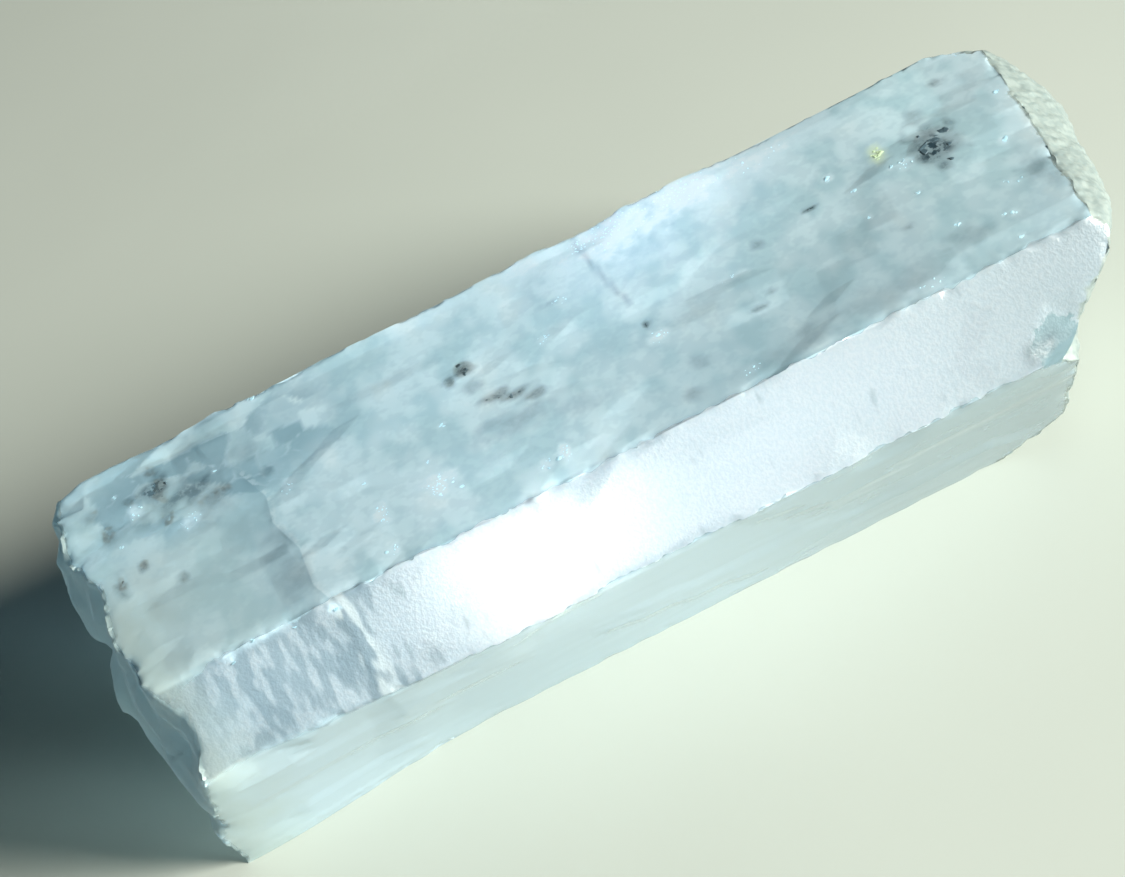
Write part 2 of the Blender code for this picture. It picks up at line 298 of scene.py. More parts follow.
# what is seen under the top and the etched face
veils = {
    # soft patches: x, y, half length along X, half width, strength; first the white ones
    "hazeAndPaintedLight": [
        (5.8, 6.6, 3.0, 2.1, 1.0), (10.2, 7.2, 3.8, 1.9, 1.0), (15.0, 7.2, 3.4, 1.5, 0.8),
        (0.3, 7.9, 2.2, 1.4, 0.7), (12.6, 5.2, 3.0, 0.9, 0.35), (18.6, 7.6, 2.8, 1.4, 0.5),
        (6.2, 3.4, 2.0, 1.6, 0.35), (-5.5, 7.9, 2.6, 1.0, 0.35), (3.4, 7.1, 0.7, 0.7, 0.5),
        (2.2, 3.5, 1.4, 1.3, 0.3), (-0.8, 0.8, 0.5, 0.5, 0.55), (5.1, -3.7, 0.8, 0.8, 0.85),
        (8.8, -2.2, 0.8, 0.8, 0.4), (10.4, -2.0, 1.0, 0.4, 0.5),
        (8.6, -9.9, 0.7, 0.6, 0.35), (-2.5, -9.1, 0.4, 0.8, 0.9),
        (-3.6, -9.3, 0.5, 0.6, 0.55), (-0.3, -9.8, 1.0, 0.7, 0.35),
        (-9.6, -6.6, 1.3, 1.0, 0.9), (-6.1, -7.2, 1.7, 0.9, 0.3),
        (-13.1, -6.7, 0.7, 1.0, 0.9), (-13.1, -10.0, 0.3, 0.5, 0.7),
        (-17.5, -0.6, 0.5, 0.7, 0.5), (-23.6, 0.8, 0.7, 0.8, 0.5),
        (-26.7, 3.7, 0.6, 0.8, 0.5), (-29.8, 1.4, 1.1, 1.1, 0.35),
        (-25.9, -12.8, 2.3, 3.2, 0.12), (-26.0, -8.5, 1.1, 2.3, 0.15),
        (22.3, -0.1, 0.7, 0.7, 0.5), (26.3, -5.8, 0.7, 0.6, 0.35),
        (19.4, -10.4, 0.8, 0.4, 0.45), (17.9, -10.3, 0.6, 0.4, 0.45),
        (28.0, 7.5, 1.7, 0.7, 0.35), (26.3, 4.7, 1.6, 0.5, 0.35),
        (17.5, 6.9, 2.6, 1.3, 0.45), (13.3, 8.0, 2.6, 0.9, 0.4),
        (-13.4, -3.1, 0.8, 0.7, 0.3), (-5.2, 5.3, 2.3, 0.9, 0.25),
        (-9.3, 7.1, 2.3, 0.7, 0.25),
    ],
    # dark smoke round the mica
    "smoke": [
        (-25.1, 4.8, 0.9, 1.5, 0.85), (-23.2, 3.4, 1.9, 1.1, 0.7),
        (-26.4, 2.6, 0.6, 0.8, 0.35), (-25.2, 6.6, 0.4, 0.6, 0.45),
        (-24.9, 1.9, 0.5, 0.7, 0.5), (-21.8, 1.9, 1.1, 0.7, 0.55),
        (-28.6, 3.1, 0.5, 0.8, 0.5), (-29.3, 5.3, 0.5, 0.6, 0.35),
        (-26.9, -1.1, 0.3, 0.6, 0.65), (-24.9, -3.7, 0.3, 0.5, 0.45),
        (-28.5, -1.9, 0.5, 0.9, 0.5), (-26.8, 5.0, 0.5, 0.5, 0.35),
        (-18.5, 1.5, 0.4, 0.5, 0.45), (-19.2, 4.1, 0.9, 0.9, 0.25),
        (-20.5, 8.1, 1.3, 0.8, 0.2), (-18.8, -8.0, 1.1, 1.5, 0.3),
        (-19.2, -5.1, 0.8, 1.3, 0.25), (-5.7, 1.6, 0.5, 0.7, 0.85),
        (-6.7, 1.0, 0.3, 0.6, 0.6), (-4.7, -2.0, 0.9, 0.4, 0.65),
        (-2.6, -3.5, 0.8, 0.5, 0.5), (-3.7, -2.7, 0.8, 0.4, 0.6),
        (-5.5, -0.3, 0.7, 0.6, 0.3), (-4.1, -4.8, 2.4, 1.0, 0.32),
        (-0.3, -6.0, 1.7, 0.9, 0.2), (4.8, -2.3, 0.2, 0.3, 0.9), (0.5, 3.4, 0.6, 0.3, 0.35),
        (16.2, 0.3, 0.4, 0.2, 0.9), (12.6, -0.4, 0.4, 0.5, 0.45),
        (10.6, -5.6, 0.6, 0.2, 0.6), (11.8, -4.8, 0.3, 0.3, 0.45),
        (12.2, -9.1, 0.7, 0.6, 0.35), (6.3, -7.4, 0.5, 0.6, 0.3),
        (5.2, -9.5, 0.5, 0.5, 0.4), (24.1, 0.1, 1.4, 1.9, 1.0), (24.1, 3.5, 0.6, 0.8, 0.4),
        (26.5, 5.7, 0.5, 0.3, 0.65), (20.1, -5.3, 0.3, 0.3, 0.45),
        (22.5, -8.4, 1.3, 0.9, 0.28), (28.3, -5.7, 1.1, 1.9, 0.3),
        (17.7, -9.7, 4.6, 1.3, 0.2), (10.8, -10.1, 3.4, 0.9, 0.2),
        (23.6, -14.0, 1.4, 0.7, 0.6), (-5.2, -11.5, 0.15, 0.5, 0.6),
        (-8.9, -11.4, 0.12, 0.4, 0.5), (-10.0, -11.6, 0.12, 0.5, 0.5),
    ],
    # painted glint: a pale yellow-green glint off a film on one crack, painted into the surface
    # colour
    "glintingFilm": [(21.2, 2.0, 0.5, 0.9, 0.9)],   # a yellow-green film on one crack
    "fade": (0.2, 1.5),                     # how softly a patch ends, in its own half sizes
    "search": 1.9,                          # how far out its vertices are looked up
    "strays": [(0.7, 0.9), (0.25, 0.35)],   # how far its rim strays, over how many mm
    # painted glint: a pale spot painted round each glint
    "paintedGlintSpots": (1.3, 0.6),                # round each glint: its size, its strength
    # one fine dark line with a pale side: y, x
    "hairline": [(8.3, 3.4), (5.3, 3.7), (1.8, 4.2), (-0.2, 4.6)],
    "hairlineStrays": (0.1, 0.8),
    "hairlineDark": (0.32, 0.17),           # strength, width
    "hairlinePale": (0.6, 0.2),
    "hairlinePaleOff": 0.35,
    "hairlinePaleFrom": (2.0, 5.5),         # y, mm
    "hairlineWithin": (2.5, 7, 17.4),       # x from, x to, lowest z
}

# a zone of flat cracks next to the parting, in mm
crackZone = {
    "x": -21.5,
    "y": 4.5,
    "halfX": 11.5,
    "halfY": 6.5,
    "edge": (0.5, 1.0),
    "lowest": 17,           # z
    "bend": (0.3, 1.3),     # how far the cracks bend, over how many mm
    "turn": 0.5,            # radians
    "blocks": (0.38, 0.5),  # blocks per mm, along X and along Y
    "depth": (0.25, 0.9),   # which blocks are coloured, by their random tone
    "rim": 0.3,             # how bright the rims are
    "rimWidth": 0.09,
    "rimTone": (0.3, 0.7),  # which blocks have one
}

# bright little cleavage faces: x, y, size
glints = [
    (18.1, 2.1, 0.30), (18.8, 0.0, 0.24), (18.7, -2.8, 0.18), (21.7, -3.0, 0.18),
    (22.4, -7.0, 0.24), (25.3, -8.3, 0.24), (24.8, -8.1, 0.18), (27.5, -2.1, 0.34),
    (21.4, 0.2, 0.18), (24.8, -10.2, 0.18), (29.0, 2.1, 0.24), (-8.1, -2.2, 0.24),
    (-0.6, 0.9, 0.18), (-2.8, -9.3, 0.26), (-9.6, -4.6, 0.18), (-13.4, -3.6, 0.18),
    (-18.0, 8.4, 0.28), (-27.6, 5.9, 0.22), (-27.9, 1.4, 0.24), (-21.4, 3.8, 0.18),
    (-23.6, -11.5, 0.24), (-22.2, -11.1, 0.22), (-17.4, -11.5, 0.24), (-19.8, -11.3, 0.18),
    (-13.6, -9.8, 0.18), (5.1, -3.6, 0.22), (-13.2, -7.1, 0.22), (-9.7, -7.5, 0.22),
    (-8.4, -7.7, 0.18),
]

painted = ("broken", "hazeAndPaintedLight", "smoke", "past", "cracks", "glintingFilm")   # kept on the vertices


def isBroken(face):
    look = crystalShape
    centre = face.calc_center_median() / mm
    nearChip = (centre - look["chip"]).length < look["chipReach"]
    looksAlong = abs(face.normal.x) > look["brokenNormal"]
    return looksAlong and abs(centre.x) > look["brokenFrom"] and not nearChip


def sinceParting(x, y):
    # mm past the parting, towards -X
    line = prism["parting"]
    for (y0, x0), (y1, x1) in zip(line, line[1:]):
        if y <= y1:
            break
    at = x0 + (x1 - x0) * (y - y0) / (y1 - y0)
    return at - x


def treeOf(verts):
    tree = kdtree.KDTree(len(verts))
    for i, vert in enumerate(verts):
        tree.insert(vert.co, i)
    tree.balance()
    return tree


def sharpVerts(bm):
    limit = math.radians(crystalShape["wearAngle"])
    sharp = {
        vert for edge in bm.edges
        if len(edge.link_faces) == 2 and edge.calc_face_angle() > limit
        for vert in edge.verts
    }
    return [vert for vert in bm.verts if vert in sharp]


def surfacePoint(x, y):
    # on the top face, or down the etched face when y is past the crest
    drop = max(0.0, prism["crestY"] - y) / prism["tan30"]
    return Vector((x, y, prism["topZ"] - drop))


def cellTone(seed):
    return noise.cell(seed * 7.31)   # the factor keeps it off the whole numbers


def paintPatches(bm, tree, layer, patches):
    for x, y, halfLength, halfWidth, strength in patches:
        centre = surfacePoint(x, y)
        search = veils["search"] * max(halfLength, halfWidth)
        for co, index, _ in tree.find_range(centre * mm, search * mm):
            p = co / mm
            along, across = (p.x - x) / halfLength, (p - centre).yz.length / halfWidth
            stray = sum(far * noise.noise(p / size) for far, size in veils["strays"])
            share = 1 - blend(*veils["fade"], math.hypot(along, across) + stray)
            vert = bm.verts[index]
            vert[layer] = max(vert[layer], min(1.0, strength * share))


def paintHairline(bm, hazeAndPaintedLight, smoke):
    line = veils["hairline"]
    low, high, lowest = veils["hairlineWithin"]
    far, size = veils["hairlineStrays"]
    dark, darkWidth = veils["hairlineDark"]
    pale, paleWidth = veils["hairlinePale"]
    for vert in bm.verts:
        p = vert.co / mm
        if p.z < lowest or not low < p.x < high:
            continue
        for (y0, x0), (y1, x1) in zip(line, line[1:]):
            if y1 <= p.y <= y0:
                at = x0 + (x1 - x0) * (y0 - p.y) / (y0 - y1)
                off = p.x - at + far * noise.noise(p / size)
                vert[smoke] = max(vert[smoke], dark * hump(off, darkWidth))
                side = blend(*veils["hairlinePaleFrom"], p.y)
                side *= hump(off - veils["hairlinePaleOff"], paleWidth)
                vert[hazeAndPaintedLight] = max(vert[hazeAndPaintedLight], pale * side)


def paintCracks(bm, cracks, hazeAndPaintedLight):
    # each block between the flat cracks has its own depth of colour, some have a bright rim
    zone = crackZone
    far, size = zone["bend"]
    for vert in bm.verts:
        p = vert.co / mm
        away = math.hypot((p.x - zone["x"]) / zone["halfX"], (p.y - zone["y"]) / zone["halfY"])
        share = 1 - blend(*zone["edge"], away)
        if p.z < zone["lowest"] or share == 0:
            continue
        bent = p + far * noise.noise_vector(p / size)
        bent.rotate(Euler((0, 0, zone["turn"])))
        spots, seeds = noise.voronoi(stretched(bent, (*zone["blocks"], 0)))
        tone = 0.5 + 0.5 * cellTone(seeds[0])
        vert[cracks] = share * blend(*zone["depth"], tone)
        rim = 1 - blend(0.0, zone["rimWidth"], spots[1] - spots[0])
        bright = zone["rim"] * share * rim * blend(*zone["rimTone"], tone)
        vert[hazeAndPaintedLight] = max(vert[hazeAndPaintedLight], bright)


def breakRelief(p):
    look = crystalShape
    right = p.x > 0
    hackle = noise.noise(p / look["hackleSize"])
    out = look["hackleDepth"][right] * (1 - 2 * abs(hackle))
    if right:
        spots = noise.voronoi(p / look["sugarSize"])[0]
        out += look["sugarDepth"] * (spots[1] - spots[0] - look["sugarLevel"])
    elif p.z > look["stepFrom"]:
        spots, seeds = noise.voronoi(stretched(p, look["stepStretch"]) / look["stepSize"])
        flat = blend(*look["stepEdge"], spots[1] - spots[0])
        out += look["stepDepth"] * cellTone(seeds[0]) * flat
    return out + look["gritDepth"][right] * noise.noise(p / look["gritSize"])


def faceRelief(p):
    look = crystalShape
    out = 0.0
    # mm in from the nearer long edge of the etched face
    inside = -((p.y - prism["crestY"]) + (p.z - prism["topZ"]) * prism["tan30"])
    inside = min(inside, (p.z - prism["ridgeZ"]) / prism["cos30"])
    if inside > look["grainEdge"][0]:
        spots = noise.voronoi(stretched(p, look["grainStretch"]) / look["grainSize"])[0]
        out += look["grainDepth"] * (spots[0] - 0.5) * blend(*look["grainEdge"], inside)
    if p.z > look["rippleFloor"]:
        past = blend(0.0, look["partingWidth"], sinceParting(p.x, p.y))
        out -= look["partingDrop"] * past
        depth = look["rippleDepth"][p.z > look["rippleTop"]]
        out += depth * noise.noise(stretched(p, look["rippleStretch"]))
    return out


def relief(vert, broken, nearEdge):
    # how far a vertex moves out along its normal
    look = crystalShape
    p = vert.co / mm
    out = breakRelief(p) if broken > 0.5 else faceRelief(p)
    out *= blend(*look["chipEdge"], (p - look["chip"]).length)
    spacing = look["nickSpacing"]
    nick = 0.5 + noise.noise(p / spacing) + 0.5 * noise.noise(p / (look["nickSmaller"] * spacing))
    nick *= 1 - look["smoothEndLess"] * blend(*look["smoothEnd"], p.x)
    nearEdge *= 1 + look["farEdgeNarrower"] * blend(*look["farEdge"], p.y)
    depth = look["nickDepth"] * max(0.0, nick - look["nickFloor"])
    return (out - depth * hump(nearEdge, look["nickReach"])) * mm


def standingPlate(p):
    # mm towards -X
    out = sum(
        far * hump(p.y - y, wide) * hump(p.z - z, high)
        for y, z, wide, high, far in crystalShape["plates"]
    )
    return (1 - blend(*crystalShape["plateRoot"], p.x)) * out


def keepInside(bm):
    low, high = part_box("crystal")
    for vert in bm.verts:
        vert.co = Vector(min(max(c, a), b) for c, a, b in zip(vert.co, low, high))


def smooth(bm, verts):
    axes = {"use_axis_x": True, "use_axis_y": True, "use_axis_z": True}
    bmesh.ops.smooth_vert(bm, verts=verts, factor=0.5, **axes)


def sliceEvenly(bm, spacing):
    # even cuts, so what is painted on the vertices keeps its shape
    low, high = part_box("crystal")
    snap = crystalShape["snap"] * mm
    for axis in range(3):
        normal = Vector((0, 0, 0))
        normal[axis] = 1
        for step in range(1, int((high[axis] - low[axis]) / spacing) + 1):
            place = Vector(low)
            place[axis] += step * spacing
            everything = bm.verts[:] + bm.edges[:] + bm.faces[:]
            bmesh.ops.bisect_plane(
                bm, geom=everything, dist=snap, plane_co=place, plane_no=normal)


def cutCrystal():
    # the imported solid, cut small; material 1 marks the breaks until the shape is done
    look = crystalShape
    bm = bmesh.new()
    bm.from_mesh(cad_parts["crystal"].data)
    bmesh.ops.remove_doubles(bm, verts=bm.verts[:], dist=look["merge"] * mm)
    bm.normal_update()
    for face in bm.faces:
        face.material_index = int(isBroken(face))
    flat = [e for e in bm.edges if any(f.material_index == 0 for f in e.link_faces)]
    bmesh.ops.dissolve_limit(
        bm, angle_limit=math.radians(look["flatAngle"]), verts=bm.verts[:], edges=flat)
    sliceEvenly(bm, look["slice"] * mm)
    print("crystal sliced", len(bm.faces))
    front, up = look["fineEtched"]
    fine = {
        f for f in bm.faces if f.material_index == 1 or f.normal.z > look["fineTop"]
        or (f.normal.y < front and f.normal.z > up)
    }
    edges = [e for e in bm.edges if any(f in fine for f in e.link_faces)]
    bmesh.ops.subdivide_edges(bm, edges=edges, cuts=look["fineCuts"], use_grid_fill=True)
    bm.normal_update()
    bmesh.ops.triangulate(bm, faces=bm.faces[:])
    return bm


def shapeBreaks(bm):
    look = crystalShape
    inner = [v for v in bm.verts if all(f.material_index == 1 for f in v.link_faces)]
    for _ in range(look["smoothing"]):
        smooth(bm, inner)
    for vert in bm.verts:
        vert.co.x -= standingPlate(vert.co / mm) * mm

    def wears(vert):
        return vert.co.x < look["wearFrom"] * mm and vert.co.z > look["wearFloor"] * mm

    worn = [vert for vert in sharpVerts(bm) if wears(vert)]
    for turn in range(1, look["wearPasses"] + 1):
        if turn % look["wearRing"] == 0:
            ring = {v for w in worn for e in w.link_edges for v in e.verts}
            worn = [v for v in bm.verts if v in ring and wears(v)]
        smooth(bm, worn)
    bm.normal_update()
    bm.verts.ensure_lookup_table()


def dressedCrystal():
    look = crystalShape
    bm = cutCrystal()
    shapeBreaks(bm)
    edges = treeOf(sharpVerts(bm))
    layers = (bm.verts.layers.float.new(name) for name in painted)
    broken, hazeAndPaintedLight, smoke, past, cracks, glintingFilm = layers
    moves = []
    for vert in bm.verts:
        p = vert.co / mm
        vert[broken] = sum(f.material_index for f in vert.link_faces) / len(vert.link_faces)
        vert[past] = sinceParting(p.x, p.y)
        nearEdge = edges.find(vert.co)[2] / mm
        moves.append(vert.normal * relief(vert, vert[broken], nearEdge))
        # painted highlight: the edges near the -X end are painted pale, into the haze layer
        if p.x < look["paintedRimFrom"] and p.z > look["paintedRimFloor"]:
            vert[hazeAndPaintedLight] = look["paintedRimLight"] * hump(nearEdge, look["paintedRimReach"])
    tree = treeOf(bm.verts)
    paintCracks(bm, cracks, hazeAndPaintedLight)
    paintHairline(bm, hazeAndPaintedLight, smoke)
    # painted glints: a pale spot round each glint, painted into the haze layer
    wide, strength = veils["paintedGlintSpots"]
    paintedGlints = [(x, y, wide * size, wide * size, strength) for x, y, size in glints]
    paintPatches(bm, tree, hazeAndPaintedLight, veils["hazeAndPaintedLight"] + paintedGlints)
    paintPatches(bm, tree, smoke, veils["smoke"])
    paintPatches(bm, tree, glintingFilm, veils["glintingFilm"])
    for vert, move in zip(bm.verts, moves):
        if vert.co.z < look["restFloor"] * mm:
            move.z = 0
        vert.co += move
    keepInside(bm)
    for face in bm.faces:
        face.material_index = 0
        face.smooth = True
    bm.normal_update()
    for edge in bm.edges:
        edge.smooth = edge.calc_face_angle(0) < math.radians(look["shadeAngle"])
    print("crystal triangles", len(bm.faces))
    return bm


beryl = {
    "ior": 1.577,
    "transmission": 0.5,        # the rest of the surface is milk
    "absorb": "#8CCBE6",
    "absorbDensity": 16.0,
    "polishRoughness": 0.14,
    "etchedRoughness": 0.34,
    "brokenRoughness": 0.55,
    "bump": 0.13,
    "bumpDepth": 0.3,           # mm
    "bumpEtched": (0.9, 0.02),  # on the etched face, everywhere
    "colours": {
        "milk": "#D2EEF9",
        "milkDeep": "#BADCE7",
        "milkPale": "#E2F8FF",
        "mist": "#D2EEFB",
        "cloud": "#E4F7FF",
        "greyEnd": "#B4C9C6",
        "milkyEnd": "#BDCECB",
        "shard": "#82A5B3",
        # the clear strip along the crest; the same colour is the painted shade along the ridge
        "clearStripAndShade": "#7F9EAA",
        "milkyFrost": "#929F9D",
        "chipClear": "#6F8C96",
        "smoke": "#354C57",
        # painted glint: the colour of the film's glint
        "glintingFilm": "#E2F8D9",
        "etched": "#ACBAC2",
        "etchedDark": "#A3B5BF",
        "etchedClear": "#879BA6",
        "etchedBright": "#C8D6DA",
        "lowerFace": "#C3D8E0",
        "lowerFaceFar": "#A8BDC4",
        # painted light: the -X break is paler than the +X one, standing in for light that comes
        # through the crystal to its unlit side, on top of its own tone
        "brokenLeftAndPaintedLight": "#9DB0AF",
        "brokenRight": "#8E9F9D",
        "sugarPale": "#9DACA8",
        # what each face lets a lamp through: it lights what lies inside and tints the shadow
        "lampFace": "#56626B",
        "lampEtched": "#66727A",
        "lampBreak": "#3A464C",     # rough, so it holds light back
        "lampEnd": "#75828B",       # the clearer -X end
        "lampToe": "#D6D4CC",       # low on the -X break, where the shadow is lighter
    },
    # size in mm, detail, roughness, and the stretch of those that run one way
    "patterns": {
        "drift": (3.333, 2.0, 0.65, (0.95, 0.65, 0.8)),     # milk drawn out along the prism
        "blotch": (1.333, 2.0, 0.75),
        "crumb": (0.5, 2.0, 0.65),
        "upright": (0.833, 1.0, 0.7, (1.3, 0.4, 0.4)),      # runs down the etched face
        "ragged": (0.909, 1.0, 0.6),
        "grit": (0.2, 1.0, 0.6),    # really finer, as coarse as it needs to be to show
    },
    # masks: none at the first value, whole at the second, in mm or as a share
    "crumbs": (0.42, 0.58),
    "faceEdge": (0.0, 0.3),         # in from the long edges of the etched face
    "frostEdge": (0.27, 0.45),      # the same for its frost, which is ragged
    "frostRagged": 0.9,
    "frostEnd": (-24.0, -29.0),     # x, where the frost draws back from the crest
    "frostEndBack": -1.2,
    "clearEnd": (-11.0, -18.0),     # x, where it opens into streaks
    "clearEndLess": -0.28,
    "chipEdge": (1.9, 1.6),
    "chipRagged": 0.3,
    "hazeCrumbs": (0.2, 0.9),
    "smokeGaps": -0.5,              # the dense ones break up
    "milkyDrift": 5.0,              # mm, how far the milky end strays
}

# each paint starts from a colour or an earlier paint; its layers give a colour, a strength
# and where it fades in: what is measured, none here, whole here
berylPaints = {
    "etchedSpeckled": ["etchedDark", ("etched", 1, ("grit", 0.38, 0.66))],
    "frosted": [
        "etchedClear",
        ("etchedSpeckled", 1, ("frostStreaks", 0.16, 0.34)),
        # bright where the parting meets the frost
        ("etchedBright", 1, ("past", -1.6, -0.3), ("past", 0.5, 0.1), ("upright", 0.35, 0.6)),
        ("etchedClear", 0.35, ("x", 16.0, 26.0)),
    ],
    "lower": ["lowerFace", ("lowerFaceFar", 1, ("x", -1.0, 15.0))],
    "milkyPart": ["milkyEnd", ("milkyFrost", 1, ("face",))],
    "sugar": ["brokenRight", ("sugarPale", 1, ("crumbs",))],
    # the -X break's colour includes painted light
    "breaks": ["brokenLeftAndPaintedLight", ("sugar", 1, ("x", -10.0, 10.0))],
    "surface": [
        "milkDeep",
        ("milk", 1, ("drift", 0.36, 0.56)),
        ("milkPale", 1, ("drift", 0.55, 0.75)),
        ("shard", 0.14, ("blotch", 0.58, 0.44)),
        ("greyEnd", 0.4, ("x", -17.0, -23.0)),
        ("shard", 0.75, ("cracks",)),
        # duller past the parting, a bright rim before it
        ("shard", 0.34, ("past", 0.0, 0.12), ("past", 5.0, 0.0), ("y", 4.0, 1.5)),
        ("cloud", 0.35, ("past", -0.5, -0.02), ("past", 0.1, 0.0), ("y", 4.0, 1.5), ("crumbs",)),
        ("clearStripAndShade", 0.3, ("crest", -0.5, -0.1)),
        ("shard", 0.3, ("y", 0.0, -9.0), ("x", -3.0, 8.0)),
        ("lower", 1, ("ridge", 0.15, -0.15)),
        # painted shade: darker along the ridge, where its rounded bevel catches more light; the
        # ridge also has a darker line of its own
        ("clearStripAndShade", 0.35, ("nearRidge", 0.35, 0.1)),
        ("frosted", 1, ("etched",)),
        ("milkyPart", 1, ("milky", -21.0, -26.5), ("y", 1.5, -6.0)),
        ("chipClear", 1, ("chip",)),
        ("breaks", 1, ("broken", 0.0, 0.4)),
        # the haze colours also carry the painted highlight on the -X edges and the painted glints
        ("mist", 1, ("hazeAndPaintedLight", 0.0, 0.7)),
        ("cloud", 1, ("hazeAndPaintedLight", 0.4, 1.0)),
        # painted glint on the film
        ("glintingFilm", 1, ("glintingFilm",)),
        ("smoke", 1, ("smoke",)),
    ],
    "lampThroughBreak": ["lampBreak", ("lampToe", 1, ("y", 2.0, -4.0), ("x", -20.0, -25.0))],
    "lampThrough": [
        "lampFace",
        ("lampEtched", 1, ("face",)),
        ("lampEnd", 1, ("x", -15.0, -21.0)),
        ("lampThroughBreak", 1, ("broken",)),
    ],
}


def berylMasks(tree):
    # what the paints measure: places and distances in mm, patterns, what is on the vertices
    place = addNode(tree, "TexCoord", out="Object")
    p = addNode(tree, "Mapping", {"Vector": place, "Scale": (1 / mm, 1 / mm, 1 / mm)})
    x, y, z = addNode(tree, "SeparateXYZ", [p]).node.outputs
    masks = {"x": x, "y": y}
    for name, (size, detail, roughness, *stretch) in beryl["patterns"].items():
        at = addNode(tree, "Mapping", {"Vector": p, "Scale": stretch[0]}) if stretch else p
        masks[name] = addNode(tree, "TexNoise", {
            "Vector": at, "Scale": 1 / size, "Detail": detail, "Roughness": roughness,
        })
    for name in painted:
        masks[name] = addNode(tree, "Attribute", out="Fac", attribute_name=name)
    soft = {"interpolation_type": "SMOOTHSTEP"}
    crumbs = addNode(tree, "MapRange", [masks["crumb"], *beryl["crumbs"]], **soft)

    # the two long edges of the etched face
    tan30, cos30 = prism["tan30"], prism["cos30"]
    lean = addNode(tree, "Math", [z, tan30, y], operation="MULTIPLY_ADD")
    crestAt = prism["crestY"] + tan30 * prism["topZ"]
    crest = addNode(tree, "Math", [crestAt, lean], operation="SUBTRACT")
    rise = [z, 1 / cos30, -prism["ridgeZ"] / cos30]
    ridge = addNode(tree, "Math", rise, operation="MULTIPLY_ADD")
    inside = addNode(tree, "Math", [crest, ridge], operation="MINIMUM")

    # the frost has a ragged edge and draws back at the -X end
    end = addNode(tree, "MapRange", [x, *beryl["frostEnd"]], **soft)
    edge = addNode(tree, "Math", [end, beryl["frostEndBack"], crest], operation="MULTIPLY_ADD")
    edge = addNode(tree, "Math", [edge, ridge], operation="MINIMUM")
    ragged = [masks["ragged"], beryl["frostRagged"], edge]
    edge = addNode(tree, "Math", ragged, operation="MULTIPLY_ADD")
    clear = addNode(tree, "MapRange", [x, *beryl["clearEnd"]], **soft)
    streaks = [clear, beryl["clearEndLess"], masks["upright"]]

    # the chip's ragged rim, the haze with its painted highlights, and the smoke broken up by
    # crumbs
    apart = [p, crystalShape["chip"]]
    fromChip = addNode(tree, "VectorMath", apart, out="Value", operation="DISTANCE")
    chip = [crumbs, beryl["chipRagged"], fromChip]
    chip = addNode(tree, "Math", chip, operation="MULTIPLY_ADD")
    flaky = addNode(tree, "Math", [crumbs, *beryl["hazeCrumbs"]], operation="MULTIPLY_ADD")
    between = addNode(tree, "Math", [1.0, crumbs], operation="SUBTRACT")
    gaps = addNode(tree, "Math", [between, masks["smoke"]], operation="MULTIPLY")
    gaps = addNode(tree, "Math", [gaps, beryl["smokeGaps"], 1.0], operation="MULTIPLY_ADD")
    milky = [masks["drift"], beryl["milkyDrift"], x]
    masks.update({
        "crumbs": crumbs,
        "crest": crest,
        "ridge": ridge,
        "nearRidge": addNode(tree, "Math", [ridge], operation="ABSOLUTE"),
        "face": addNode(tree, "MapRange", [inside, *beryl["faceEdge"]], **soft),
        "etched": addNode(tree, "MapRange", [edge, *beryl["frostEdge"]], **soft),
        "frostStreaks": addNode(tree, "Math", streaks, operation="MULTIPLY_ADD"),
        "chip": addNode(tree, "MapRange", [chip, *beryl["chipEdge"]], **soft),
        "hazeAndPaintedLight": addNode(tree, "Math", [masks["hazeAndPaintedLight"], flaky], operation="MULTIPLY"),
        "smoke": addNode(tree, "Math", [masks["smoke"], gaps], operation="MULTIPLY"),
        "milky": addNode(tree, "Math", milky, operation="MULTIPLY_ADD"),
    })
    return masks


def paintOver(tree, masks, colours, under, layers):
    soft = {"interpolation_type": "SMOOTHSTEP"}
    paint = colours[under]
    for colour, strength, *fades in layers:
        share = strength
        for name, *limits in fades:
            mask = masks[name]
            if limits:
                mask = addNode(tree, "MapRange", [mask, *limits], **soft)
            share = addNode(tree, "Math", [share, mask], operation="MULTIPLY")
        mix = {0: share, 6: paint, 7: colours[colour]}
        paint = addNode(tree, "Mix", mix, out=2, data_type="RGBA")
    return paint


def berylMaterial():
    # beryl, natural prism faces: waxy gloss, milky with veils; one face etched to a fine frost
    material, tree = newMaterial("milkyBeryl")
    masks = berylMasks(tree)
    colours = {name: hexColour(text) for name, text in beryl["colours"].items()}
    for name, (under, *layers) in berylPaints.items():
        colours[name] = paintOver(tree, masks, colours, under, layers)

    polish = beryl["polishRoughness"]
    frosted = [masks["etched"], beryl["etchedRoughness"] - polish, polish]
    roughness = addNode(tree, "Math", frosted, operation="MULTIPLY_ADD")
    rough = addNode(tree, "Math", [masks["broken"], masks["chip"]], operation="MAXIMUM")
    roughness = addNode(tree, "Mix", {0: rough, 2: roughness, 3: beryl["brokenRoughness"]})

    grain = addNode(tree, "Math", [masks["face"], *beryl["bumpEtched"]], operation="MULTIPLY_ADD")
    grain = addNode(tree, "Math", [masks["grit"], grain], operation="MULTIPLY")
    bump = addNode(tree, "Bump", {
        "Height": grain, "Strength": beryl["bump"], "Distance": beryl["bumpDepth"] * mm,
    })

    shader = addNode(tree, "BsdfPrincipled", {
        "Base Color": colours["surface"],
        "Roughness": roughness,
        "Normal": bump,
        "IOR": beryl["ior"],
        "Transmission Weight": beryl["transmission"],
    })
    pane = addNode(tree, "BsdfTransparent", {"Color": colours["lampThrough"]})
    toLamp = addNode(tree, "LightPath", out="Is Shadow Ray")
    surface = addNode(tree, "MixShader", [toLamp, shader, pane])
    inside = addNode(tree, "VolumeAbsorption", {
        "Color": hexColour(beryl["absorb"]), "Density": beryl["absorbDensity"],
    })
    addNode(tree, "OutputMaterial", {"Surface": surface, "Volume": inside})
    return material


crystal = meshObject("crystalBody", dressedCrystal(), berylMaterial())
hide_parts("crystal")
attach(crystal, "root")

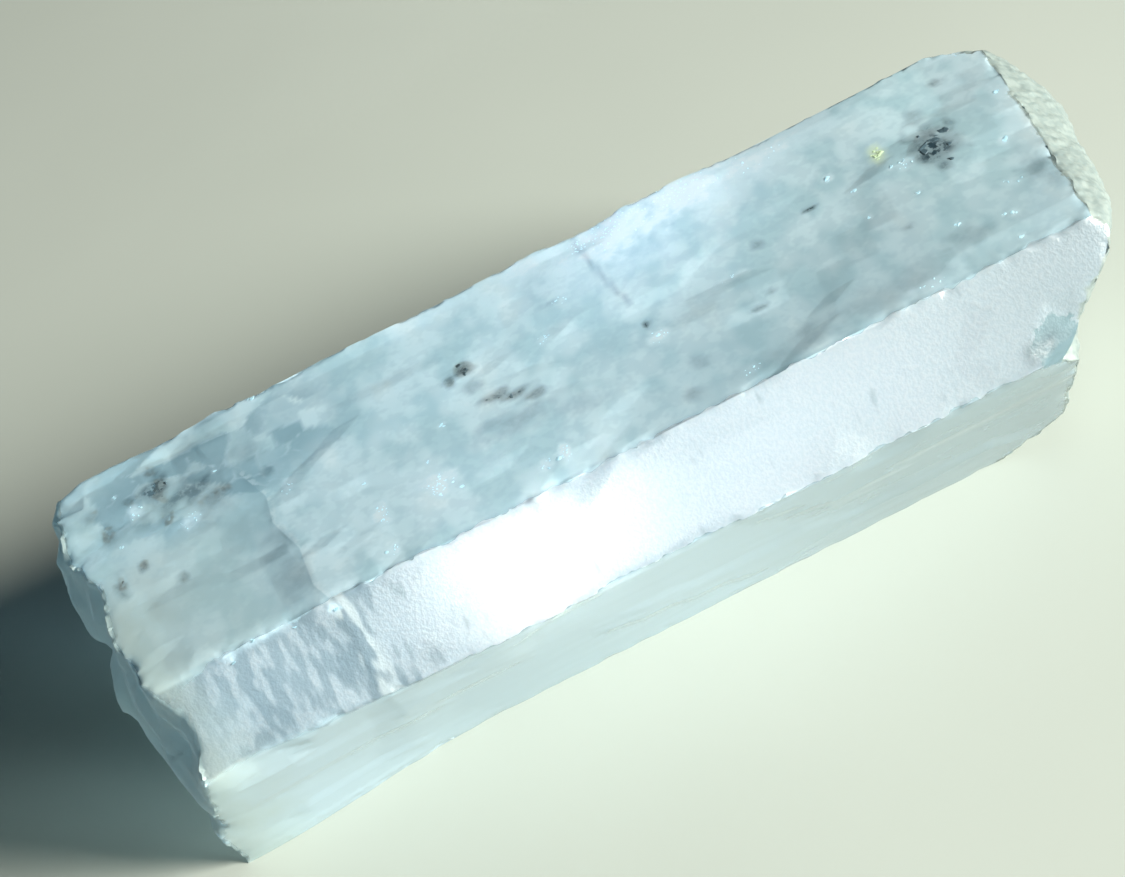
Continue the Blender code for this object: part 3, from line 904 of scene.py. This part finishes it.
print("inclusions")
inclusions = {
    # flecks in clusters: x, y, half length, half width, how many, size in mm
    "snow": [
        (5.4, 7.0, 2.6, 1.5, 160, 0.075), (9.8, 7.4, 3.2, 1.2, 160, 0.075),
        (14.5, 7.2, 2.8, 0.9, 60, 0.07), (3.4, 7.1, 0.7, 0.7, 35, 0.075),
        (5.1, -3.7, 0.7, 0.6, 30, 0.075), (-2.5, -9.1, 0.35, 0.8, 30, 0.075),
        (-3.6, -9.3, 0.5, 0.5, 12, 0.075), (-9.6, -6.6, 1.1, 0.7, 75, 0.075),
        (-13.1, -6.7, 0.5, 0.8, 27, 0.075), (-13.1, -10.0, 0.3, 0.5, 12, 0.075),
        (-23.6, 0.8, 0.7, 0.8, 25, 0.075), (-26.7, 3.7, 0.6, 0.8, 25, 0.075),
        (10.4, -2.0, 1.0, 0.25, 20, 0.075), (19.4, -10.4, 0.8, 0.3, 18, 0.075),
        (22.3, -0.1, 0.7, 0.6, 25, 0.075), (-0.8, 0.8, 0.45, 0.4, 13, 0.075),
        (8.6, -9.9, 0.7, 0.4, 17, 0.075), (-17.6, -0.8, 0.4, 0.6, 12, 0.075),
        (1.1, 3.3, 0.8, 0.7, 15, 0.075), (26.3, -5.8, 0.6, 0.5, 13, 0.075),
    ],
    "snowDepths": (-0.01, 0.06),    # mm under the top face
    "snowSquash": 0.25,
    "mica": [
        (24.1, 0.0, 1.3, 1.8, 170, 0.38), (24.1, 3.5, 0.5, 0.7, 10, 0.14),
        (26.5, 5.7, 0.5, 0.2, 9, 0.18), (-5.7, 1.6, 0.5, 0.7, 48, 0.26),
        (-6.7, 1.0, 0.25, 0.5, 14, 0.14), (-4.7, -2.0, 0.9, 0.35, 46, 0.22),
        (-2.6, -3.5, 0.6, 0.3, 18, 0.18), (-3.7, -2.7, 0.7, 0.3, 22, 0.2),
        (-5.5, -0.3, 0.6, 0.5, 12, 0.13), (-24.9, 4.6, 0.45, 1.2, 44, 0.22),
        (-25.2, 6.6, 0.35, 0.5, 12, 0.16), (-24.9, 1.9, 0.45, 0.6, 14, 0.17),
        (-21.8, 1.9, 1.1, 0.4, 24, 0.16), (-28.6, 3.1, 0.45, 0.7, 16, 0.17),
        (-29.3, 5.3, 0.4, 0.4, 7, 0.15), (-26.9, -1.1, 0.2, 0.4, 10, 0.20),
        (-24.9, -3.7, 0.2, 0.3, 6, 0.15), (-28.5, -1.9, 0.35, 0.7, 12, 0.17),
        (-26.8, 5.0, 0.4, 0.4, 8, 0.14), (4.8, -2.3, 0.15, 0.22, 7, 0.17),
        (16.2, 0.3, 0.4, 0.1, 9, 0.17), (12.6, -0.4, 0.3, 0.4, 6, 0.12),
        (10.6, -5.6, 0.6, 0.1, 9, 0.12), (11.8, -4.8, 0.25, 0.2, 5, 0.12),
        (12.2, -9.1, 0.6, 0.4, 6, 0.12), (-10.1, 3.7, 0.1, 0.15, 4, 0.15),
        (-10.8, 3.9, 0.08, 0.1, 3, 0.13), (20.1, -5.3, 0.15, 0.15, 3, 0.12),
    ],
    "micaDepths": (0.05, 0.7),
    "micaSquash": 0.3,
    "gather": 0.6,                  # below 0.5 they gather at the rim, above it in the middle
    "leanBack": 0.6,                # the deep ones lie further back, where they are seen to be
    "lowest": 16.5,                 # z, mm: none far down the etched face
    "fleckTilt": 0.4,               # radians
    "fleckHeading": 6.3,
    "fleckSizes": (0.5, 1.3),
    # the glinting scales of the film: x, y, size
    "glintingFilm": [
        (21.2, 1.8, 0.24), (21.0, 2.1, 0.22), (21.4, 2.0, 0.26), (21.2, 2.35, 0.24),
        (21.1, 1.5, 0.18), (21.45, 2.55, 0.16), (21.3, 1.95, 0.28), (21.1, 1.95, 0.24),
    ],
    "glintScales": 3,               # for each glint
    "glintSquash": 0.08,
    "glintStray": 0.5,
    "glintTilt": 0.1,
    "glintHeading": 0.8,
    "glintSizes": (0.35, 0.8),
    "flakeWidths": (0.55, 0.9),     # as a share of its length
    "flakeJitter": 0.12,
    "above": 30,                    # mm, from where the top face is looked for
    # one colour, the other, mm from one to the other, roughness
    "micaLook": ("#2A3D46", "#4C626C", 0.25, 0.45),
    "snowLook": ("#8DBACC", "#ACD1E0", 0.2, 0.5),
    "filmLook": ("#9FB899", "#B4CCAA", 0.333, 0.4),
}


def addFlake(bm, centre, size, squash, turn):
    width = random.uniform(*inclusions["flakeWidths"])
    scale = Vector((size, size * width, size * squash)) * mm
    place = Matrix.LocRotScale(centre * mm, turn, scale)
    made = bmesh.ops.create_icosphere(bm, subdivisions=1, radius=1, matrix=place)
    for vert in made["verts"]:
        stray = Vector(random.uniform(-1, 1) for _ in range(3))
        vert.co += stray * inclusions["flakeJitter"] * size * mm


def randomTurn(tilt, heading):
    tips = (random.uniform(-tilt, tilt), random.uniform(-tilt, tilt))
    return Euler((*tips, random.uniform(0, heading)))


def topAt(surface, x, y):
    above = Vector((x, y, inclusions["above"])) * mm
    return surface.ray_cast(above, Vector((0, 0, -1)))[0]


def scattered(name, surface):
    look = inclusions
    bm = bmesh.new()
    for x, y, halfLength, halfWidth, count, size in look[name]:
        for _ in range(count):
            reach, bearing = random.random() ** look["gather"], random.uniform(0, math.tau)
            along, across = reach * math.cos(bearing), reach * math.sin(bearing)
            at = Vector((x + halfLength * along, y + halfWidth * across))
            hit = topAt(surface, at.x, at.y)
            if hit is None or hit.z < look["lowest"] * mm:
                continue
            depth = random.uniform(*look[name + "Depths"])
            centre = Vector((at.x, at.y + look["leanBack"] * depth, hit.z / mm - depth))
            turn = randomTurn(look["fleckTilt"], look["fleckHeading"])
            fleck = size * random.uniform(*look["fleckSizes"])
            addFlake(bm, centre, fleck, look[name + "Squash"], turn)
    keepInside(bm)
    return bm


def glintMesh(spots, surface):
    look = inclusions
    bm = bmesh.new()
    for x, y, size in spots:
        hit = topAt(surface, x, y)
        for _ in range(look["glintScales"]):
            stray = Vector((random.uniform(-1, 1), random.uniform(-1, 1), 0))
            centre = hit / mm + stray * look["glintStray"] * size
            turn = randomTurn(look["glintTilt"], look["glintHeading"])
            scale = size * random.uniform(*look["glintSizes"])
            addFlake(bm, centre, scale, look["glintSquash"], turn)
    keepInside(bm)
    return bm


def speckledMaterial(name, first, second, size, roughness):
    material, tree = newMaterial(name)
    place = addNode(tree, "TexCoord", out="Object")
    pattern = {"Vector": place, "Scale": 1 / (size * mm), "Detail": 2.0}
    speckle = addNode(tree, "TexNoise", pattern)
    mix = {0: speckle, 6: hexColour(first), 7: hexColour(second)}
    tone = addNode(tree, "Mix", mix, out=2, data_type="RGBA")
    shader = addNode(tree, "BsdfPrincipled", {"Base Color": tone, "Roughness": roughness})
    addNode(tree, "OutputMaterial", {"Surface": shader})
    return material


def growInclusions():
    look = inclusions
    bm = bmesh.new()
    bm.from_mesh(crystal.data)
    surface = BVHTree.FromBMesh(bm)
    bm.free()
    mica = speckledMaterial("blackMica", *look["micaLook"])     # biotite: black, a dull pearl
    snow = speckledMaterial("fluidFeather", *look["snowLook"])  # feathers of tiny bubbles: white
    lime = speckledMaterial("limeGlint", *look["filmLook"])     # a thin film: yellow-green
    pieces = [
        meshObject("micaInclusions", scattered("mica", surface), mica),
        meshObject("snowFeathers", scattered("snow", surface), snow),
        meshObject("cleavageGlints", glintMesh(glints, surface), snow),
        meshObject("filmGlint", glintMesh(look["glintingFilm"], surface), lime),
    ]
    for piece in pieces:
        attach(piece, "root")
        print(piece.name, len(piece.data.polygons))


growInclusions()
